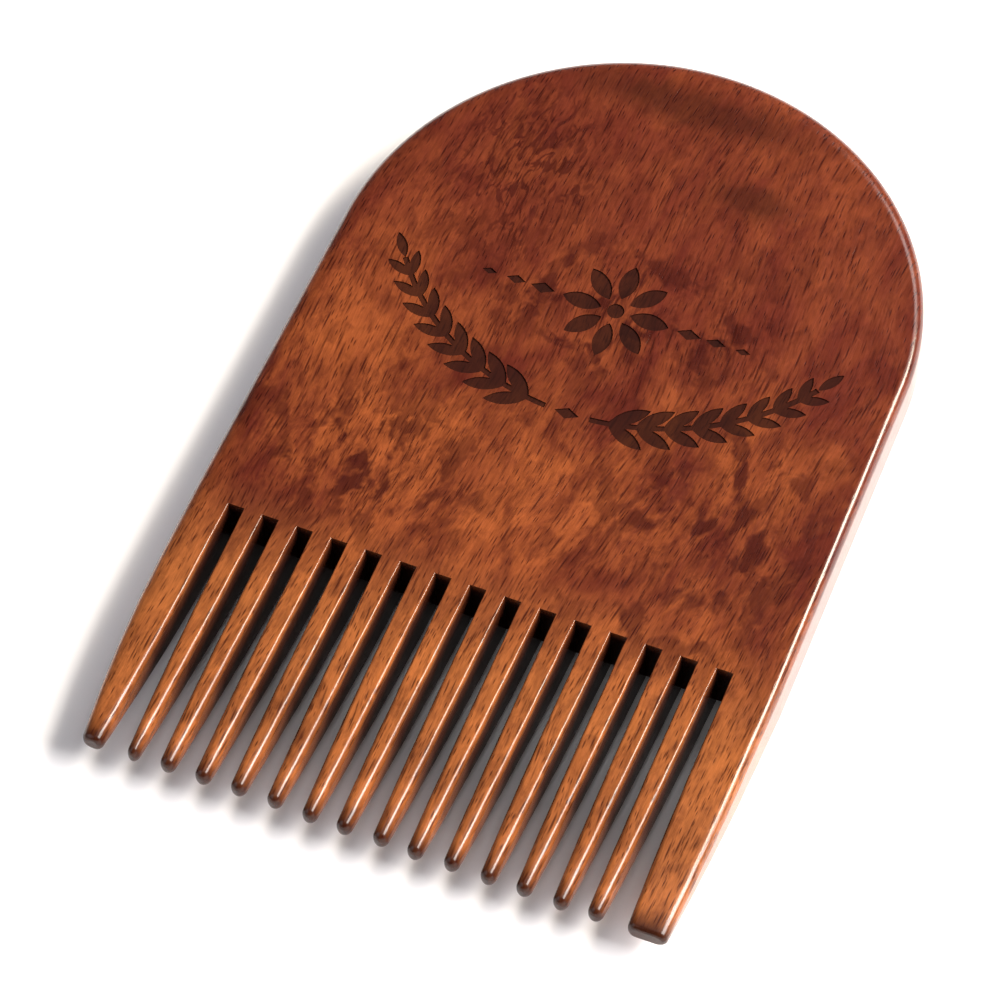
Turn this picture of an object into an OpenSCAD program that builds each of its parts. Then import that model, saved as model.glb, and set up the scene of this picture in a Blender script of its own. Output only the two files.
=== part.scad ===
// Beard comb, cut and rounded from one flat board of hardwood, lying on its back face.
// +X runs across the comb, +Y from the tips of the teeth to the arched top, and +Z up out of the front.
// The origin is the middle of the comb's outline, on the surface that the comb lies on.
// The comb is a single piece of wood. Its nodes are the board above the slots and each tooth below,
// and they meet face to face where the slots end, so every node is simple and the slots stay open.

/* [Board] */
// Width of the board where the slots end
board_w = 71; // [70.5:0.5:76]
// Radius of the arched top, a little under half the width, so that the sides lean in
arch_r = 34.7; // [33:0.1:34.8]
// Distance from the slot ends up to the centre of the arch
side_l = 41.7; // [38:0.1:50]
// Thickness of the wood
board_t = 7; // [6.8:0.1:9]
// Radius along the outer edge of both faces
edge_r = 1.5; // [0.8:0.1:2]

/* [Thin teeth] */
// Number of thin teeth between the two end teeth
tooth_n = 14; // [8:1:14]
// Distance from the middle of one tooth to the middle of the next
tooth_pitch = 4.2; // [4:0.05:4.25]
// How far the row of teeth sits to the right of the middle, or to the left if negative
row_shift = -0.5; // [-0.5:0.1:0.5]
// Width of a thin tooth where it leaves the board
tooth_w = 2.3; // [2.2:0.05:2.6]
// How far each side of a thin tooth comes in towards the tip
thin_taper = 0.25; // [0:0.05:0.25]
// Length of the teeth, from the slot ends to the tips
tooth_l = 33; // [28:0.5:40]
// Distance from the slot ends to where the sides and the front of a tooth begin to curve in
taper_start = 9; // [6:0.5:18]
// How far the front of a tooth has fallen at the tip
front_drop = 0.9; // [0.2:0.1:1]
// How far the back of a tooth has risen at the tip
back_rise = 3.6; // [1:0.1:3.6]

/* [End teeth] */
// How far the outer side of the left end tooth comes in towards the tip
left_outer_taper = 1.4; // [0.5:0.1:1.6]
// How far its slot side comes in
left_inner_taper = 0.9; // [0.1:0.1:0.9]
// How far the outer side of the right end tooth comes in towards the tip
right_outer_taper = 0.8; // [0.5:0.1:1.6]
// How far its slot side comes in
right_inner_taper = 0.3; // [0.1:0.1:0.9]

/* [Engraving] */
// Depth of the engraved ornament
engrave_depth = 0.15; // [0.1:0.05:1]
// Distance from the slot ends up to the lowest point of the two sprigs
sprig_y = 25; // [23:0.5:27]
// Radius of the arc that both sprigs follow
sprig_r = 31; // [29:0.5:32]
// Pairs of leaves on each sprig
leaf_pairs = 8; // [4:1:8]
// Length of the largest leaves, next to the middle
leaf_l = 5.2; // [4:0.1:5.4]
// Petals of the rosette above the sprigs
petal_n = 8; // [5:1:8]
// Radius of the rosette
rosette_r = 6.5; // [5:0.5:7]

/* [Hidden] */
$fn = 96;

// Outline of the board
total_l = tooth_l + side_l + arch_r;
slot_y = tooth_l - total_l / 2;                  // where the slots end
arch_y = slot_y + side_l;                        // centre of the arch
corner_l = norm([board_w / 2, side_l]);          // from the arch's centre to a lower corner
lean = acos(arch_r / corner_l) - atan2(side_l, board_w / 2);
trim = 2;                                        // wood that is cut away from each half of the board

// Teeth
slot_w = tooth_pitch - tooth_w;
inner_x = (tooth_n * tooth_pitch + slot_w) / 2;  // from the row's middle to an end tooth
root_r = 0.1;                                    // the slots leave the teeth with sharp edges
tip_r = 0.8;                                     // which are rounded off towards the tips
outer_tip_r = 1;                                 // and the board's edge gets a little sharper
nose_r = 0.7;                                    // round the end of every tooth
corner_steps = 5;
shank_steps = 6;                                 // rings between the slot ends and the nose
nose_steps = 4;

// Ornament, with its angles measured from the middle of the comb round the sprigs' arc
stem_w = 0.7;
stem_start = 5;
stem_end = 55;
leaf_start = 9;
leaf_end = 50;
leaf_turn = 31;                                  // angle between a leaf and the stem
leaf_shrink = 0.3;                               // share of its size that the last leaf loses
leaf_slim = 0.34;                                // width of a leaf over its length
rosette_y = sprig_y + 15;
eye_r = 1;                                       // of the disc in the rosette's middle
petal_root = 1.8;                                // from the rosette's middle to its petals
petal_slim = 0.46;
lozenge_l = 3;
lozenge_step = 3.6;                              // from one lozenge beside the rosette to the next
lozenge_n = 3;
lozenge_slim = 0.5;
lozenge_shrink = 0.2;                            // share of the first one's length that each next one loses
rosette_gap = 1;

function tooth_name(i) = str("tooth_", i < 10 ? "0" : "", i);
function tooth_x(i) = row_shift + (i - (tooth_n + 1) / 2) * tooth_pitch;

// Section of the board from x = 0 to its rounded outer edge at x = reach.
module edge_section(reach) {
    for (z = [edge_r, board_t - edge_r])
        translate([reach - edge_r, z]) circle(edge_r);
    translate([reach - edge_r, edge_r]) square([edge_r, board_t - 2 * edge_r]);
    square([reach - edge_r, board_t]);
}

// Right half of the board before it is engraved: a quarter turn of the arch, and the straight side
// that it runs into without a step, both turned by the lean. Two cuts trim them.
module half_blank() {
    intersection() {
        translate([0, arch_y, 0]) rotate([0, 0, lean]) {
            rotate_extrude(angle = 90) edge_section(arch_r);
            translate([-trim, 0, 0]) rotate([90, 0, 0])
                linear_extrude(side_l + trim) edge_section(arch_r + trim);
        }
        translate([0, slot_y, -trim]) cube([board_w, total_l, board_t + 2 * trim]);
    }
}

// Pointed leaf from the origin along +X, between two arcs.
module leaf(length, slim) {
    width = slim * length;
    r = (length ^ 2 + width ^ 2) / (4 * width);
    intersection_for (side = [-1, 1])
        translate([length / 2, side * (r - width / 2)]) circle(r);
}

// Diamond from the origin along +X.
module lozenge(length) {
    half = length / 2;
    polygon([[0, 0], [half, lozenge_slim * half], [length, 0], [half, -lozenge_slim * half]]);
}

// Curved stem of the right sprig, about the arc's centre.
module stem() {
    reach = 2 * sprig_r;
    intersection() {
        difference() {
            circle(sprig_r + stem_w / 2);
            circle(sprig_r - stem_w / 2);
        }
        polygon([[0, 0], for (a = [stem_start, stem_end]) reach * [sin(a), -cos(a)]]);
    }
}

// Right sprig: pairs of leaves that get smaller along the stem, and one at its end.
module sprig() {
    stem();
    for (i = [0 : leaf_pairs - 1], side = [-1, 1]) {
        share = i / (leaf_pairs - 1);
        rotate(leaf_start + share * (leaf_end - leaf_start)) translate([0, -sprig_r])
            rotate(side * leaf_turn) leaf(leaf_l * (1 - leaf_shrink * share), leaf_slim);
    }
    rotate(stem_end) translate([0, -sprig_r]) leaf(leaf_l * (1 - leaf_shrink), leaf_slim);
}

// Petals round a small disc, with a row of lozenges on each side.
module rosette() {
    circle(eye_r);
    for (i = [0 : petal_n - 1])
        rotate(90 + i * 360 / petal_n) translate([petal_root, 0]) leaf(rosette_r - petal_root, petal_slim);
    for (side = [0, 1], i = [0 : lozenge_n - 1])
        mirror([side, 0]) translate([rosette_r + rosette_gap + i * lozenge_step, 0])
            lozenge(lozenge_l * (1 - lozenge_shrink * i));
}

// Ornament on the front, two sprigs that curve up round a rosette.
module ornament() {
    for (side = [0, 1])
        mirror([side, 0]) translate([0, sprig_y + sprig_r]) sprig();
    translate([-lozenge_l / 2, sprig_y]) lozenge(lozenge_l);
    translate([0, rosette_y]) rosette();
}

module board() {
    color("saddlebrown") difference() {
        for (side = [0, 1])
            mirror([side, 0, 0]) half_blank();
        translate([0, slot_y, board_t - engrave_depth]) linear_extrude(2 * engrave_depth) ornament();
    }
}

// Ring of points round a tooth, at a distance down from the slot ends and pulled in by an inset.
// The low side is at smaller x, and each side is [place at the root, taper, root radius, tip radius].
function ring(down, inset, low, high) =
    let (
        share = down / tooth_l,
        curve = (max(0, down - taper_start) / (tooth_l - taper_start)) ^ 2,
        low_r = side_r(low, share, inset),
        high_r = side_r(high, share, inset),
        low_x = low[0] + low[1] * curve + inset + low_r,
        high_x = high[0] - high[1] * curve - inset - high_r,
        back_z = back_rise * share + inset,
        front_z = board_t - front_drop * curve - inset
    )
    concat(
        corner(low_x, down, back_z + low_r, low_r, 180),
        corner(high_x, down, back_z + high_r, high_r, 270),
        corner(high_x, down, front_z - high_r, high_r, 0),
        corner(low_x, down, front_z - low_r, low_r, 90)
    );

function side_r(side, share, inset) = max(root_r, side[2] + share * (side[3] - side[2]) - inset);

// Quarter of a circle seen along the tooth, counterclockwise from an angle.
function corner(x, down, z, r, from) = [
    for (i = [0 : corner_steps])
        let (a = from + 90 * i / corner_steps)
        [x + r * cos(a), slot_y - down, z + r * sin(a)]
];

// Tooth from the slot ends to its rounded nose: rings of points, with faces between them.
module tooth(low, high) {
    nose_start = tooth_l - nose_r;
    rings = concat(
        [for (i = [0 : shank_steps - 1]) ring(nose_start * i / shank_steps, 0, low, high)],
        [
            for (i = [0 : nose_steps])
                let (a = 90 * i / nose_steps)
                ring(nose_start + nose_r * sin(a), nose_r * (1 - cos(a)), low, high)
        ]
    );
    n = len(rings[0]);
    last = (len(rings) - 1) * n;
    polyhedron(
        points = [for (r = rings) each r],
        faces = concat(
            [[for (k = [n - 1 : -1 : 0]) k]],
            [[for (k = [0 : n - 1]) last + k]],
            [for (i = [0 : n : last - n], k = [0 : n - 1]) [i + k, i + (k + 1) % n, i + n + k]],
            [
                for (i = [0 : n : last - n], k = [0 : n - 1])
                    [i + (k + 1) % n, i + n + (k + 1) % n, i + n + k]
            ]
        )
    );
}

module thin_tooth(i) {
    color("sienna") tooth(
        [tooth_x(i) - tooth_w / 2, thin_taper, root_r, tip_r],
        [tooth_x(i) + tooth_w / 2, thin_taper, root_r, tip_r]
    );
}

module end_tooth_left() {
    color("sienna") tooth(
        [-board_w / 2, left_outer_taper, edge_r, outer_tip_r],
        [row_shift - inner_x, left_inner_taper, root_r, tip_r]
    );
}

module end_tooth_right() {
    color("sienna") tooth(
        [row_shift + inner_x, right_inner_taper, root_r, tip_r],
        [board_w / 2, right_outer_taper, edge_r, outer_tip_r]
    );
}

board();
end_tooth_left();
end_tooth_right();
for (i = [1 : tooth_n])
    thin_tooth(i);
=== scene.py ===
"""Looks of the beard comb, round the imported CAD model: its wood, its engraving and the studio.

Shapes are worked out in millimetres in the row frame, and build() turns them into metres.
The board and each tooth are one piece of wood on the real comb, so all of them share one material,
whose grain is laid out in the row frame and runs on from piece to piece.
"""
import math
import random
from collections import namedtuple

import bmesh
import bpy
from mathutils import Matrix, Vector, noise


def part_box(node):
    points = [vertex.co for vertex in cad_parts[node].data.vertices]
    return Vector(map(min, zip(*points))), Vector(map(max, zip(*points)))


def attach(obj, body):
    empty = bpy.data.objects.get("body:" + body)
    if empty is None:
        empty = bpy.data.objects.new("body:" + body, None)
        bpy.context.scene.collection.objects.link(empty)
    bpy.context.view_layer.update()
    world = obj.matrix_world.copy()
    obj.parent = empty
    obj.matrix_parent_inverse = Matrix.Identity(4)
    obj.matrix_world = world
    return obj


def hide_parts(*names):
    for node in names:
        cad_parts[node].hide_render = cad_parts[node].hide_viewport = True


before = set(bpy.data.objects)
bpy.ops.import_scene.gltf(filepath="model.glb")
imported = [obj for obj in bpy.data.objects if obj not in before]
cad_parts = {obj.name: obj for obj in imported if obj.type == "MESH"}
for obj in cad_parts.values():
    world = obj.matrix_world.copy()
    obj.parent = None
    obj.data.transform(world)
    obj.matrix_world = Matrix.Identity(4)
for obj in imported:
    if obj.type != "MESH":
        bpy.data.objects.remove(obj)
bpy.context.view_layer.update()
MM = 0.001


def box_mm(node):
    """Lowest and highest corner of a CAD node, in millimetres."""
    low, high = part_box(node)
    return low / MM, high / MM


# ---- Sizes taken from the frame ----

BOARD_LOW, BOARD_HIGH = box_mm("board")
THICK = BOARD_HIGH.z
HALF_W = BOARD_HIGH.x
SLOT_Y = BOARD_LOW.y
TOP_Y = BOARD_HIGH.y
THIN_TEETH = sorted(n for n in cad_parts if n.startswith("tooth_"))
TOOTH_L = SLOT_Y - box_mm(THIN_TEETH[0])[0].y

# ---- Sizes that a box doesn't give, the same as the CAD model's ----

ARCH_R = 34.7
ARCH_Y = TOP_Y - ARCH_R
SIDE_L = ARCH_Y - SLOT_Y
LEAN = math.acos(ARCH_R / math.hypot(HALF_W, SIDE_L)) - math.atan2(SIDE_L, HALF_W)
ENGRAVE_DEPTH = 0.15

# The ornament. Its angles are in degrees, from the middle of the comb round the sprigs' arc.
SPRIG_Y = 25
SPRIG_R = 31
STEM_W = 0.7
STEM_START, STEM_END = 5, 55
LEAF_PAIRS = 8
LEAF_START, LEAF_SWEEP = 9, 41
LEAF_TURN = 31
LEAF_L = 5.2
LEAF_SHRINK = 0.3
LEAF_SLIM = 0.34
ROSETTE_Y = SPRIG_Y + 15
ROSETTE_R = 6.5
EYE_R = 1
PETALS = 8
PETAL_ROOT = 1.8
PETAL_SLIM = 0.46
LOZENGES = 3
LOZENGE_L = 3
LOZENGE_STEP = 3.6
LOZENGE_SHRINK = 0.2
LOZENGE_SLIM = 0.5
ROSETTE_GAP = 1

# The teeth.
TAPER_START = 9
FRONT_DROP = 0.9
BACK_RISE = 3.6
THIN_TAPER = 0.25
LEFT_TAPERS, RIGHT_TAPERS = (1.4, 0.9), (0.8, 0.3)    # of the outer side and the slot side

# ---- Sizes seen in the photo, finer than the CAD model's ----

# The rounded edge reaches further over the faces than down the side, and less so on the right.
EDGE_RX = 2.5
EDGE_RZ = 1.3
RIGHT_SHARE = 0.45

# ---- Mesh helpers ----


def build(name, points, faces, smooth=True):
    """A mesh object from points in millimetres, with its normals facing out."""
    mesh = bpy.data.meshes.new(name)
    mesh.from_pydata([Vector(p) * MM for p in points], [], faces)
    bm = bmesh.new()
    bm.from_mesh(mesh)
    bmesh.ops.recalc_face_normals(bm, faces=bm.faces)
    for face in bm.faces:
        face.smooth = smooth
    bm.to_mesh(mesh)
    bm.free()
    piece = bpy.data.objects.new(name, mesh)
    bpy.context.scene.collection.objects.link(piece)
    return piece


def crease(piece, angle):
    """Keeps edges sharper than an angle sharp, and lets large faces lead the shading."""
    bm = bmesh.new()
    bm.from_mesh(piece.data)
    for edge in bm.edges:
        if edge.is_manifold:
            edge.smooth = edge.calc_face_angle() < angle
    bm.to_mesh(piece.data)
    bm.free()
    weighted = piece.modifiers.new("shading", "WEIGHTED_NORMAL")
    weighted.keep_sharp = True


def prism(outline, low, high):
    """Points and faces of an upright prism over a flat outline."""
    n = len(outline)
    points = [(x, y, low) for x, y in outline] + [(x, y, high) for x, y in outline]
    sides = [(k, (k + 1) % n, n + (k + 1) % n, n + k) for k in range(n)]
    return points, [tuple(range(n - 1, -1, -1)), tuple(range(n, 2 * n))] + sides


def join(solids):
    """One list of points and one of faces from several."""
    points, faces = [], []
    for solid_points, solid_faces in solids:
        start = len(points)
        points += solid_points
        faces += [tuple(start + k for k in face) for face in solid_faces]
    return points, faces


def smoothstep(low, high, x):
    t = min(1, max(0, (x - low) / (high - low)))
    return t * t * (3 - 2 * t)


# ---- The board ----

ARCH_STEPS = 120
SIDE_STEPS = 24
EDGE_STEPS = 10
BLEND_END = 0.5         # share of the arch over which the edge of the right side fades out


def arch_point(inset, turn):
    """Point of the arch pulled in by an inset, at an angle from +X."""
    radius = ARCH_R - inset
    return Vector((radius * math.cos(turn), ARCH_Y + radius * math.sin(turn)))


def right_side(inset):
    """Points up the right side, from the slot ends to just short of the arch."""
    foot = Vector((HALF_W - inset / math.cos(LEAN), SLOT_Y))
    return [foot.lerp(arch_point(inset, LEAN), k / SIDE_STEPS) for k in range(SIDE_STEPS)]


def outline(inset):
    """The board's outline pulled in by an inset, from its lower right corner to its lower left.

    The right side is sanded less than the rest, so its inset is a share of the full one."""
    span = math.pi - 2 * LEAN
    arch = []
    for k in range(ARCH_STEPS + 1):
        share = RIGHT_SHARE + (1 - RIGHT_SHARE) * smoothstep(0, BLEND_END, k / ARCH_STEPS)
        arch.append(arch_point(inset * share, LEAN + span * k / ARCH_STEPS))
    left = [Vector((-p.x, p.y)) for p in reversed(right_side(inset))]
    return right_side(inset * RIGHT_SHARE) + arch + left


def edge_profile():
    """Inset and height of each ring of the rounded edge, from the back face to the front."""
    quarter = [math.pi / 2 * k / EDGE_STEPS for k in range(EDGE_STEPS + 1)]
    low = [(EDGE_RX * (1 - math.sin(a)), EDGE_RZ * (1 - math.cos(a))) for a in quarter]
    return low + [(inset, THICK - z) for inset, z in reversed(low)]


def blank():
    """The board before it is engraved."""
    rings = [[(p.x, p.y, z) for p in outline(inset)] for inset, z in edge_profile()]
    n = len(rings[0])
    points = [p for ring in rings for p in ring]
    faces = []
    for i in range(len(rings) - 1):
        for k in range(n - 1):
            faces.append((i * n + k, i * n + k + 1, (i + 1) * n + k + 1, (i + 1) * n + k))
    last = (len(rings) - 1) * n
    faces.append(tuple(range(n - 1, -1, -1)))
    faces.append(tuple(range(last, last + n)))
    starts = [i * n for i in range(len(rings))]
    ends = [i * n + n - 1 for i in range(len(rings))]
    faces.append(tuple(starts + list(reversed(ends))))
    return build("board_comb", points, faces)


# ---- The engraving ----

LEAF_STEPS = 14
STEM_STEPS = 40
DISC_STEPS = 24


def turned(points, angle, place):
    """Flat points turned about the origin, then moved."""
    turn = Matrix.Rotation(angle, 2)
    return [turn @ Vector(p) + Vector(place) for p in points]


def leaf(length, slim):
    """Pointed leaf from the origin along +X, between two arcs."""
    radius = length * (1 + slim * slim) / (4 * slim)

    def half_width(x):
        return math.sqrt(radius ** 2 - (x - length / 2) ** 2) - radius + slim * length / 2

    along = [length * (1 - math.cos(math.pi * k / LEAF_STEPS)) / 2 for k in range(LEAF_STEPS + 1)]
    lower = [(x, -half_width(x)) for x in along[:-1]]
    upper = [(x, half_width(x)) for x in reversed(along[1:])]
    return lower + upper


def lozenge(length):
    """Diamond from the origin along +X."""
    half = length / 2
    return [(0, 0), (half, -LOZENGE_SLIM * half), (length, 0), (half, LOZENGE_SLIM * half)]


def disc(radius):
    angles = [2 * math.pi * k / DISC_STEPS for k in range(DISC_STEPS)]
    return [(radius * math.cos(a), radius * math.sin(a)) for a in angles]


def arc(radius, bearings):
    """Points round the centre of the sprigs' arc."""
    centre_y = SPRIG_Y + SPRIG_R
    return [(radius * math.sin(a), centre_y - radius * math.cos(a)) for a in bearings]


def stem():
    """Curved stem of the right sprig."""
    span = STEM_END - STEM_START
    bearings = [math.radians(STEM_START + span * k / STEM_STEPS) for k in range(STEM_STEPS + 1)]
    return arc(SPRIG_R + STEM_W / 2, bearings) + arc(SPRIG_R - STEM_W / 2, reversed(bearings))


def placed_leaf(bearing, turn, share):
    """Leaf that grows out of the stem at a bearing, at a share of the way from the largest leaf."""
    root = (SPRIG_R * math.sin(bearing), SPRIG_Y + SPRIG_R * (1 - math.cos(bearing)))
    return turned(leaf(LEAF_L * (1 - LEAF_SHRINK * share), LEAF_SLIM), bearing + turn, root)


def sprig():
    """Outlines of the right sprig: its stem, pairs of leaves and the leaf at its end."""
    shapes = [stem()]
    for i in range(LEAF_PAIRS):
        share = i / (LEAF_PAIRS - 1)
        bearing = math.radians(LEAF_START + LEAF_SWEEP * share)
        for hand in (-1, 1):
            shapes.append(placed_leaf(bearing, hand * math.radians(LEAF_TURN), share))
    shapes.append(placed_leaf(math.radians(STEM_END), 0, 1))
    return shapes


def lozenge_row():
    """Lozenges that get smaller to the right of the rosette."""
    return [
        turned(lozenge(LOZENGE_L * (1 - LOZENGE_SHRINK * i)), 0,
               (ROSETTE_R + ROSETTE_GAP + LOZENGE_STEP * i, ROSETTE_Y))
        for i in range(LOZENGES)
    ]


def ornament():
    """Every outline of the engraving: two sprigs that curve up round a rosette."""
    right = sprig() + lozenge_row()
    left = [[(-x, y) for x, y in reversed(shape)] for shape in right]
    middle = [
        turned(lozenge(LOZENGE_L), 0, (-LOZENGE_L / 2, SPRIG_Y)),
        turned(disc(EYE_R), 0, (0, ROSETTE_Y)),
    ]
    for i in range(PETALS):
        petal = [(x + PETAL_ROOT, y) for x, y in leaf(ROSETTE_R - PETAL_ROOT, PETAL_SLIM)]
        middle.append(turned(petal, math.radians(90 + 360 / PETALS * i), (0, ROSETTE_Y)))
    return right + left + middle


def engrave(board, material):
    """Cuts the ornament into the front face, and gives the cut its burnt material."""
    low, high = THICK - ENGRAVE_DEPTH, THICK + 1
    solids = [prism([(x, y + SLOT_Y) for x, y in shape], low, high) for shape in ornament()]
    cutter = build("cutter", *join(solids), smooth=False)
    cutter.data.materials.append(material)
    cut = board.modifiers.new("engraving", "BOOLEAN")
    cut.operation = "DIFFERENCE"
    cut.solver = "EXACT"
    cut.use_self = True
    cut.material_mode = "TRANSFER"
    cut.object = cutter
    depsgraph = bpy.context.evaluated_depsgraph_get()
    mesh = bpy.data.meshes.new_from_object(board.evaluated_get(depsgraph))
    board.modifiers.clear()
    board.data = mesh
    bpy.data.objects.remove(cutter)


# ---- The teeth ----

CORNER_STEPS = 7
SHANK_STEPS = 44
NOSE_STEPS = 8
THIN_NOSE, END_NOSE = 0.85, 0.6    # round the end of a thin tooth and of an end tooth
LEAST_R = 0.05

# What sanding by hand leaves different from tooth to tooth.
WOBBLE = 0.05
WOBBLE_START = 4                   # distance from the slot ends over which the wobble sets in
WOBBLE_L = 5
MOST_SHORTER = 0.3
MOST_SHIFT = 0.12
THIN_LEAN = 0.3                    # how far the tips of the thin teeth lie to the left
MOST_THINNER = 0.05
FIRST_THINNER = 0.2                # the first thin tooth comes to a finer tip than the rest

# A side of a tooth: its x and its radii across and upright where it leaves the board, how far it
# comes in towards the tip, and its radii there.
Side = namedtuple("Side", "x root taper tip")
SLOT_ROOT, SLOT_TIP = (0.12, 0.12), (0.9, 1.2)
LEFT_ROOT, RIGHT_ROOT = (EDGE_RX, EDGE_RZ), (EDGE_RX * RIGHT_SHARE, EDGE_RZ)
OUTER_TIP = (1.3, 1.1)


def section(y, low_x, high_x, low_z, high_z, low_r, high_r):
    """Ring round a tooth, whose low and high sides each have a radius across and one upright."""
    corners = [
        (low_x + low_r[0], low_z + low_r[1], low_r, math.pi),
        (high_x - high_r[0], low_z + high_r[1], high_r, 1.5 * math.pi),
        (high_x - high_r[0], high_z - high_r[1], high_r, 0),
        (low_x + low_r[0], high_z - low_r[1], low_r, math.pi / 2),
    ]
    ring = []
    for x, z, (across, upright), start in corners:
        for k in range(CORNER_STEPS + 1):
            a = start + math.pi / 2 * k / CORNER_STEPS
            ring.append((x + across * math.cos(a), y, z + upright * math.sin(a)))
    return ring


def loft(name, rings):
    """A closed solid through rings of points."""
    n = len(rings[0])
    points = [p for ring in rings for p in ring]
    faces = [tuple(range(n)), tuple(range(len(points) - n, len(points)))]
    for i in range(0, len(points) - n, n):
        faces += [(i + k, i + (k + 1) % n, i + n + (k + 1) % n, i + n + k) for k in range(n)]
    return build(name, points, faces)


def side_radii(side, share, tuck_x, tuck_z):
    """Radii of a side at a share of the tooth's length, less what the rounded end tucks in."""
    across, upright = (root + (tip - root) * share for root, tip in zip(side.root, side.tip))
    return [max(LEAST_R, across - tuck_x), max(LEAST_R, upright - tuck_z)]


def tooth(node, low, high, nose, lean, rng):
    """A tooth in the place of its CAD node, sanded by hand, so that no two are quite the same."""
    length = TOOTH_L - rng.uniform(0, MOST_SHORTER)
    shift_at_tip = rng.uniform(-MOST_SHIFT, MOST_SHIFT) - lean
    phase = rng.uniform(0, 100)
    shank = length - nose
    turns = [math.pi / 2 * k / NOSE_STEPS for k in range(NOSE_STEPS + 1)]
    marks = [(shank * k / SHANK_STEPS, 0) for k in range(SHANK_STEPS)]
    marks += [(shank + nose * math.sin(a), 1 - math.cos(a)) for a in turns]
    rings = []
    for down, tuck in marks:
        share = down / TOOTH_L
        curve = (max(0, down - TAPER_START) / (TOOTH_L - TAPER_START)) ** 2
        shift = shift_at_tip * share ** 2
        wobble = WOBBLE * smoothstep(0, WOBBLE_START, down)
        sanded = [
            abs(wobble * noise.noise((phase + step, down / WOBBLE_L, 0))) for step in (0, 10, 20)
        ]
        low_x = low.x + low.taper * curve + shift + sanded[0]
        high_x = high.x - high.taper * curve + shift - sanded[1]
        low_z = BACK_RISE * share
        high_z = THICK - FRONT_DROP * curve - sanded[2]
        tuck_x = tuck * min(nose, (high_x - low_x) / 2 - 2 * LEAST_R)
        tuck_z = tuck * nose
        low_r = side_radii(low, share, tuck_x, tuck_z)
        high_r = side_radii(high, share, tuck_x, tuck_z)
        room = high_x - low_x - 2 * tuck_x
        squeeze = min(1, room / (low_r[0] + high_r[0]))
        low_r[0] *= squeeze
        high_r[0] *= squeeze
        box = (low_x + tuck_x, high_x - tuck_x, low_z + tuck_z, high_z - tuck_z)
        rings.append(section(SLOT_Y - down, *box, low_r, high_r))
    return loft(node + "_wood", rings)


def thin_tooth(node, rng):
    low, high = box_mm(node)
    thinner = FIRST_THINNER if node == THIN_TEETH[0] else 0
    taper = THIN_TAPER + rng.uniform(0, MOST_THINNER) + thinner
    low_side = Side(low.x, SLOT_ROOT, taper, SLOT_TIP)
    high_side = Side(high.x, SLOT_ROOT, taper, SLOT_TIP)
    return tooth(node, low_side, high_side, THIN_NOSE, THIN_LEAN, rng)


def end_tooth(node, outer_taper, inner_taper, rng):
    """An end tooth, whose outer side carries on the board's rounded edge."""
    low, high = box_mm(node)
    if low.x < 0:
        low_side = Side(low.x, LEFT_ROOT, outer_taper, OUTER_TIP)
        high_side = Side(high.x, SLOT_ROOT, inner_taper, SLOT_TIP)
    else:
        low_side = Side(low.x, SLOT_ROOT, inner_taper, SLOT_TIP)
        high_side = Side(high.x, RIGHT_ROOT, outer_taper, OUTER_TIP)
    return tooth(node, low_side, high_side, END_NOSE, 0, rng)


# ---- Materials ----


class Graph:
    """Builds a node material. An input takes a number, a colour or another node's output."""

    def __init__(self, name):
        self.material = bpy.data.materials.new(name)
        self.material.use_nodes = True
        self.tree = self.material.node_tree
        self.tree.nodes.clear()

    def node(self, kind, inputs=(), **settings):
        made = self.tree.nodes.new(kind)
        for key, value in settings.items():
            setattr(made, key, value)
        for key, value in dict(inputs).items():
            socket = made.inputs[key]
            if isinstance(value, bpy.types.NodeSocket):
                self.tree.links.new(value, socket)
            else:
                socket.default_value = value
        return made

    def math(self, operation, a, b=0.0):
        return self.node("ShaderNodeMath", {0: a, 1: b}, operation=operation).outputs[0]

    def most(self, values):
        """The highest of several values at each point."""
        total = values[0]
        for value in values[1:]:
            total = self.math("MAXIMUM", total, value)
        return total

    def remap(self, value, low, high, to_low=0.0, to_high=1.0):
        made = self.node("ShaderNodeMapRange", {0: value, 1: low, 2: high, 3: to_low, 4: to_high})
        return made.outputs[0]

    def noise(self, vector, scale, detail=3.0, roughness=0.55, distortion=0.0):
        return self.node("ShaderNodeTexNoise", {
            "Vector": vector, "Scale": scale, "Detail": detail, "Roughness": roughness,
            "Distortion": distortion,
        }).outputs["Fac"]

    def stretch(self, vector, x, y, z, shift=(0, 0, 0)):
        """Coordinates in which a feature of the texture is x, y and z millimetres long."""
        return self.node("ShaderNodeMapping", {
            "Vector": vector, "Scale": (1 / x, 1 / y, 1 / z), "Location": shift,
        }).outputs[0]

    def mix(self, share, a, b, blend="MIX"):
        """Two colours mixed. Sockets 0, 6, 7 and 2 are the node's ones for colours."""
        inputs = {0: share, 6: a, 7: b}
        return self.node("ShaderNodeMix", inputs, data_type="RGBA", blend_type=blend).outputs[2]

    def shade(self, inputs):
        """The surface. Numbers that are the same everywhere are set on the shader itself."""
        shader = self.node("ShaderNodeBsdfPrincipled", inputs)
        out = self.node("ShaderNodeOutputMaterial")
        self.tree.links.new(shader.outputs[0], out.inputs[0])
        return self.material


def colour(red, green, blue):
    """Linear colour from the 0 to 255 values of a colour chip."""

    def linear(v):
        v /= 255
        return v / 12.92 if v <= 0.04045 else ((v + 0.055) / 1.055) ** 2.4

    return (linear(red), linear(green), linear(blue), 1)


# Places of the wood's figure, in millimetres from the middle of the slot ends: x and y, and how far
# the place reaches in each.
AMBER_PLACES = [(-8, 14, 18, 8), (-26, 28, 7, 17)]
DARK_PLACES = [(-19, 11, 13, 8), (21, 15, 11, 15), (2, 40, 18, 9)]
SMOKY_PLACES = [(-2, 70, 13, 2.6), (9, 60, 5, 2)]
RIPPLE_PLACES = [(-17, 55, 8, 12)]

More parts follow.
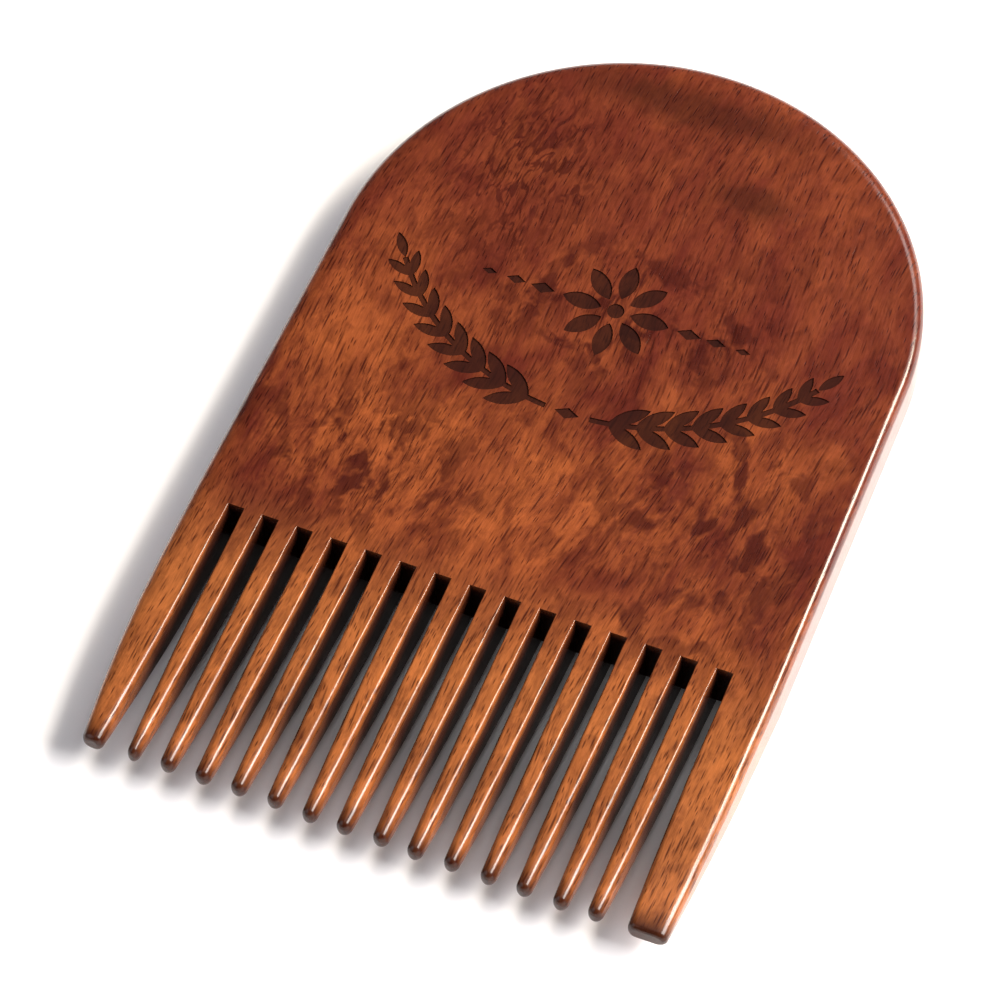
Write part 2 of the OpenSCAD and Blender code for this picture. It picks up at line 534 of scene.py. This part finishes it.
WOOD_MID = (79, 30, 20)
WOOD_LIGHT = (132, 67, 34)
WOOD_RUSSET = (89, 35, 24)
WOOD_AMBER = (176, 106, 54)
WOOD_RED = (50, 14, 11)
# Dark wood of the smoky patches and the tips, also used as painted shade deep in the slots.
WOOD_DARK_AND_SHADE = (37, 13, 9)
PORE = (44, 11, 7)
BURNT = (27, 8, 5)

# Kinds of pore: width, length, and a shift that keeps one kind from lining up with the next.
PORES = [(0.42, 4.2, 0), (0.5, 6.4, 11), (0.36, 2.8, 23), (0.3, 1.8, 37)]
PORE_CORE, PORE_EDGE = 0.12, 0.34  # distances from a cell's middle between which a pore fades out

FIBRE_LEAN = 0.05                  # sideways over along
FIBRE_WANDER = 9.0
SLOT_FRAME = 3                     # width of an end tooth's outer part, which isn't in a slot
DULL_SHADE_START, DULL_SHADE_FULL = 0.1, 1.2   # depths below the front between which the wood turns dull and takes on painted shade
DULL_SHADE_FADE, DULL_SHADE_END = 20, 28       # distances down from the slot ends between which that fades
STREAK_HEIGHT, PORE_DEPTH = 0.003, 0.006


def places(g, x, y, ragged, spots):
    """How far inside any of some places a point is, from 0 outside to 1, with ragged borders."""
    reached = []
    for place_x, place_y, reach_x, reach_y in spots:
        across = g.math("DIVIDE", g.math("SUBTRACT", x, place_x), reach_x)
        along = g.math("DIVIDE", g.math("SUBTRACT", y, SLOT_Y + place_y), reach_y)
        square = g.math("ADD", g.math("MULTIPLY", across, across), g.math("MULTIPLY", along, along))
        reached.append(g.remap(g.math("ADD", g.math("SQRT", square), ragged), 0.5, 1.4, 1.0, 0.0))
    return g.most(reached)


def pores(g, grain, crowding):
    """Dark dashes along the grain: long cells, of which more show where the crowding is high."""
    dashes = []
    for width, length, shift in PORES:
        cells = g.node("ShaderNodeTexVoronoi", {
            "Vector": g.stretch(grain, width, length, width, (shift, shift, shift)), "Scale": 1.0,
            "Randomness": 1.0,
        })
        near = g.remap(cells.outputs["Distance"], PORE_CORE, PORE_EDGE, 1.0, 0.0)
        picked = g.node("ShaderNodeSeparateColor", {0: cells.outputs["Color"]}).outputs[0]
        shown = g.remap(g.math("ADD", picked, crowding), 0.3, 0.74)
        dashes.append(g.math("MULTIPLY", near, shown))
    return g.most(dashes)


def dull_and_shaded_slots(g, x, y, z):
    """How deep in the slots a point is: 0 near the front, and 1 where the wood is sawn and dull and
    its colour is darkened as painted shade.

    The end faces of the slots belong to the board, so the slots reach a hair above their ends."""
    between = g.math("LESS_THAN", g.math("ABSOLUTE", x), HALF_W - SLOT_FRAME)
    below = g.math("LESS_THAN", y, SLOT_Y + 0.05)
    along = g.math("MULTIPLY", below, g.remap(y, SLOT_Y - DULL_SHADE_END, SLOT_Y - DULL_SHADE_FADE))
    deep = g.remap(z, THICK - DULL_SHADE_START, THICK - DULL_SHADE_FULL)
    return g.math("MULTIPLY", g.math("MULTIPLY", between, along), deep)


def millimetres(g):
    """Where a point is in the row frame, and its x, y and z."""
    place = g.node("ShaderNodeTexCoord").outputs["Object"]
    mm = g.node("ShaderNodeVectorMath", {0: place, "Scale": 1 / MM}, operation="SCALE").outputs[0]
    return mm, *g.node("ShaderNodeSeparateXYZ", {0: mm}).outputs


def grain_lines(g, mm, x, y, z):
    """Coordinates that follow the fibres, which lean a little to the right going up, and wander."""
    wander = g.math("MULTIPLY", g.noise(g.stretch(mm, 30, 50, 30), 1.0, 2.0, 0.5), FIBRE_WANDER)
    bent = g.math("SUBTRACT", g.math("ADD", x, wander), g.math("MULTIPLY", y, FIBRE_LEAN))
    return g.node("ShaderNodeCombineXYZ", {0: bent, 1: y, 2: z}).outputs[0]


def light_figure(g, grain, y, amber):
    """The light colours: brown to tan, more amber down the teeth, and russet further up."""
    figure = g.noise(g.stretch(grain, 7, 13, 7), 1.0, 4.0, 0.6, 0.5)
    light = g.math("ADD", g.remap(figure, 0.36, 0.64, 0.0, 0.75), g.math("MULTIPLY", amber, 0.45))
    base = g.mix(light, colour(*WOOD_MID), colour(*WOOD_LIGHT))
    teeth = g.remap(y, SLOT_Y + 4, SLOT_Y - 10, 0.0, 0.45)
    base = g.mix(teeth, base, colour(*WOOD_AMBER))
    upper = g.remap(y, SLOT_Y + 24, SLOT_Y + 44, 0.0, 0.5)
    return g.mix(upper, base, colour(*WOOD_RUSSET))


def dark_figure(g, grain, base, mottle, dark, ripple_share, smoky):
    """The dark red mottling over the light colours, its blots and ripples, and smoky patches."""
    ripple = g.noise(g.stretch(grain, 1.1, 3.0, 1.1, (3, 9, 4)), 1.0, 2.0, 0.5, 1.4)
    blot = g.noise(g.stretch(grain, 3.2, 4.6, 3.2, (2, 8, 5)), 1.0, 3.0, 0.55, 0.4)
    red = colour(*WOOD_RED)
    mottled = g.math("MULTIPLY", g.remap(mottle, 0.46, 0.68), g.remap(dark, 0.0, 1.0, 0.4, 0.7))
    base = g.mix(mottled, base, red)
    blots = g.math("MULTIPLY", g.remap(blot, 0.5, 0.6), g.remap(dark, 0.0, 1.0, 0.22, 0.85))
    base = g.mix(blots, base, red)
    rippled = g.math("MULTIPLY", g.remap(ripple, 0.5, 0.6), ripple_share)
    base = g.mix(g.math("MULTIPLY", rippled, 0.75), base, red)
    return g.mix(g.math("MULTIPLY", smoky, 0.6), base, colour(*WOOD_DARK_AND_SHADE))


def wood(name, burnt=0.0):
    """Oiled red-brown hardwood: patches of figure, streaks along the comb, and short dark pores."""
    g = Graph(name)
    mm, x, y, z = millimetres(g)
    grain = grain_lines(g, mm, x, y, z)
    mottle = g.noise(g.stretch(grain, 1.5, 3.4, 1.5, (7, 3, 1)), 1.0, 5.0, 0.65, 0.5)
    streak = g.noise(g.stretch(grain, 0.3, 6, 0.3), 1.0, 3.0, 0.6)
    fibre = g.noise(g.stretch(grain, 0.13, 1.5, 0.13), 1.0, 2.0, 0.6)
    ragged = g.remap(mottle, 0.3, 0.7, -0.45, 0.45)
    amber, dark, ripple_share, smoky = (
        places(g, x, y, ragged, spots)
        for spots in (AMBER_PLACES, DARK_PLACES, RIPPLE_PLACES, SMOKY_PLACES)
    )

    base = light_figure(g, grain, y, amber)
    base = dark_figure(g, grain, base, mottle, dark, ripple_share, smoky)
    tips_y = SLOT_Y - TOOTH_L
    tip = g.remap(y, tips_y + 0.6, tips_y + 3.2, 0.9, 0.0)
    base = g.mix(tip, base, colour(*WOOD_DARK_AND_SHADE))

    streaked = g.remap(streak, 0.25, 0.75, 0.84, 1.16)
    lines = g.math("MULTIPLY", streaked, g.remap(fibre, 0.3, 0.7, 0.86, 1.14))
    base = g.mix(1.0, base, lines, "MULTIPLY")
    crowding = g.remap(mottle, 0.35, 0.7, -0.08, 0.2)
    dashes = pores(g, grain, g.math("ADD", crowding, g.math("MULTIPLY", dark, 0.12)))
    base = g.mix(g.math("MULTIPLY", dashes, 0.8), base, colour(*PORE))

    # Sawn wood in the slots, and the tips, are dull. Deep in the slots the colour is also darkened
    # towards dark wood: painted shade.
    slot_shade_and_dull = dull_and_shaded_slots(g, x, y, z)
    # Painted shade: the colour deep in the slots goes over to dark wood.
    base = g.mix(g.math("MULTIPLY", slot_shade_and_dull, 0.88), base, colour(*WOOD_DARK_AND_SHADE))
    dull = g.math("MAXIMUM", slot_shade_and_dull, g.math("MULTIPLY", tip, 0.7))

    raised = g.math("MULTIPLY", streak, STREAK_HEIGHT)
    height = g.math("SUBTRACT", raised, g.math("MULTIPLY", dashes, PORE_DEPTH))
    bump = g.node("ShaderNodeBump", {"Height": height, "Distance": MM, "Strength": 1.0})
    common = {"IOR": 1.5, "Coat Roughness": 0.1, "Normal": bump.outputs[0]}
    if burnt:
        return g.shade(common | {
            "Base Color": g.mix(burnt, base, colour(*BURNT)), "Roughness": 0.75,
            "Specular IOR Level": 0.06, "Coat Weight": 0.0,
        })
    return g.shade(common | {
        "Base Color": base, "Roughness": g.remap(streak, 0.2, 0.8, 0.18, 0.28),
        "Specular IOR Level": g.remap(dull, 0.0, 1.0, 0.5, 0.05),
        "Coat Weight": g.remap(dull, 0.0, 1.0, 0.15, 0.0),
    })


# ---- The comb ----

SEED = 7
SCORCH = 0.84           # how far the engraving's colour has gone over to burnt
CREASE_ANGLE = math.radians(40)


def make_comb():
    rng = random.Random(SEED)
    timber = wood("oiled_hardwood")
    scorched = wood("scorched_hardwood", burnt=SCORCH)
    board = blank()
    board.data.materials.append(timber)
    engrave(board, scorched)
    pieces = {"board": board}
    for node in THIN_TEETH:
        pieces[node] = thin_tooth(node, rng)
    pieces["end_tooth_left"] = end_tooth("end_tooth_left", *LEFT_TAPERS, rng)
    pieces["end_tooth_right"] = end_tooth("end_tooth_right", *RIGHT_TAPERS, rng)
    for node, piece in pieces.items():
        if node != "board":
            piece.data.materials.append(timber)
        crease(piece, CREASE_ANGLE)
        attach(piece, "root")
        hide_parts(node)


# ---- The studio ----

SOFTBOX_DISTANCE = 0.9
WARM = (1, 0.92, 0.76)
NEUTRAL = (1, 0.97, 0.94)
COOL = (0.9, 0.93, 1)
FLOOR_HALF = 1500
PAPER = (0.9, 0.885, 0.905, 1)

# The world's brightness falls between two heights, each the sine of an elevation.
WALLS = {"From Min": 0.3, "From Max": 0.6, "To Min": 1.6, "To Max": 0.03}

LENS, SENSOR = 198, 36
CAMERA_YAW = 24.93
CAMERA_ELEVATION = 57.66
CAMERA_DISTANCE = 616.9
CAMERA_ROLL = -3.0
LOOK_X, LOOK_Y = -2.6, -10.2


def direction(azimuth, elevation):
    """Unit vector that points up from the horizon, with azimuth 0 along +X and 90 along +Y."""
    a, e = math.radians(azimuth), math.radians(elevation)
    return Vector((math.cos(e) * math.cos(a), math.cos(e) * math.sin(a), math.sin(e)))


def softbox(name, azimuth, elevation, size, power, tint):
    """A square area light that looks at the comb."""
    lamp = bpy.data.lights.new(name, "AREA")
    lamp.shape = "SQUARE"
    lamp.size, lamp.energy, lamp.color = size, power, tint
    box = bpy.data.objects.new(name, lamp)
    towards = direction(azimuth, elevation)
    box.location = towards * SOFTBOX_DISTANCE
    box.rotation_euler = towards.to_track_quat("Z", "Y").to_euler()
    bpy.context.scene.collection.objects.link(box)


def make_floor():
    """White paper that reaches out of sight."""
    g = Graph("white_paper")
    place = g.node("ShaderNodeTexCoord").outputs["Object"]
    texture = g.noise(place, 900.0, 2.0)
    bump = g.node("ShaderNodeBump", {"Height": texture, "Distance": 0.00003, "Strength": 0.3})
    material = g.shade({"Base Color": PAPER, "Roughness": 0.9, "Normal": bump.outputs[0]})
    half = FLOOR_HALF
    corners = [(-half, -half, 0), (half, -half, 0), (half, half, 0), (-half, half, 0)]
    floor = build("floor", corners, [(0, 1, 2, 3)])
    floor.data.materials.append(material)


def make_world():
    """White walls round the table, and darkness above, so that the face stays deep in colour."""
    world = bpy.data.worlds.new("studio")
    world.use_nodes = True
    tree = world.node_tree
    place = tree.nodes.new("ShaderNodeTexCoord")
    split = tree.nodes.new("ShaderNodeSeparateXYZ")
    fade = tree.nodes.new("ShaderNodeMapRange")
    for key, value in WALLS.items():
        fade.inputs[key].default_value = value
    tree.links.new(place.outputs["Generated"], split.inputs[0])
    tree.links.new(split.outputs["Z"], fade.inputs["Value"])
    tree.links.new(fade.outputs[0], tree.nodes["Background"].inputs["Strength"])
    bpy.context.scene.world = world


def make_camera():
    """A long lens above the comb's lower right, turned and rolled as the comb was photographed."""
    data = bpy.data.cameras.new("camera")
    data.lens = LENS
    data.sensor_width = SENSOR
    data.clip_start = 0.01
    camera = bpy.data.objects.new("camera", data)
    towards = direction(-90 + CAMERA_YAW, CAMERA_ELEVATION)
    look_at = Vector((LOOK_X, LOOK_Y, THICK)) * MM
    camera.location = look_at + towards * CAMERA_DISTANCE * MM
    turn = towards.to_track_quat("Z", "Y").to_matrix()
    roll = Matrix.Rotation(math.radians(CAMERA_ROLL), 3, "Z")
    camera.rotation_euler = (turn @ roll).to_euler()
    bpy.context.scene.collection.objects.link(camera)
    bpy.context.scene.camera = camera


make_comb()
make_floor()
make_world()
softbox("key", 5, 40, 0.46, 15, NEUTRAL)
softbox("rim", 42, 42, 0.3, 9.5, WARM)
softbox("end", 75, 42, 0.3, 1.5, NEUTRAL)
softbox("overhead", 0, 84, 0.5, 1.1, NEUTRAL)
softbox("fill", 215, 35, 0.8, 3.2, COOL)
make_camera()
bpy.context.scene.view_settings.view_transform = "Standard"
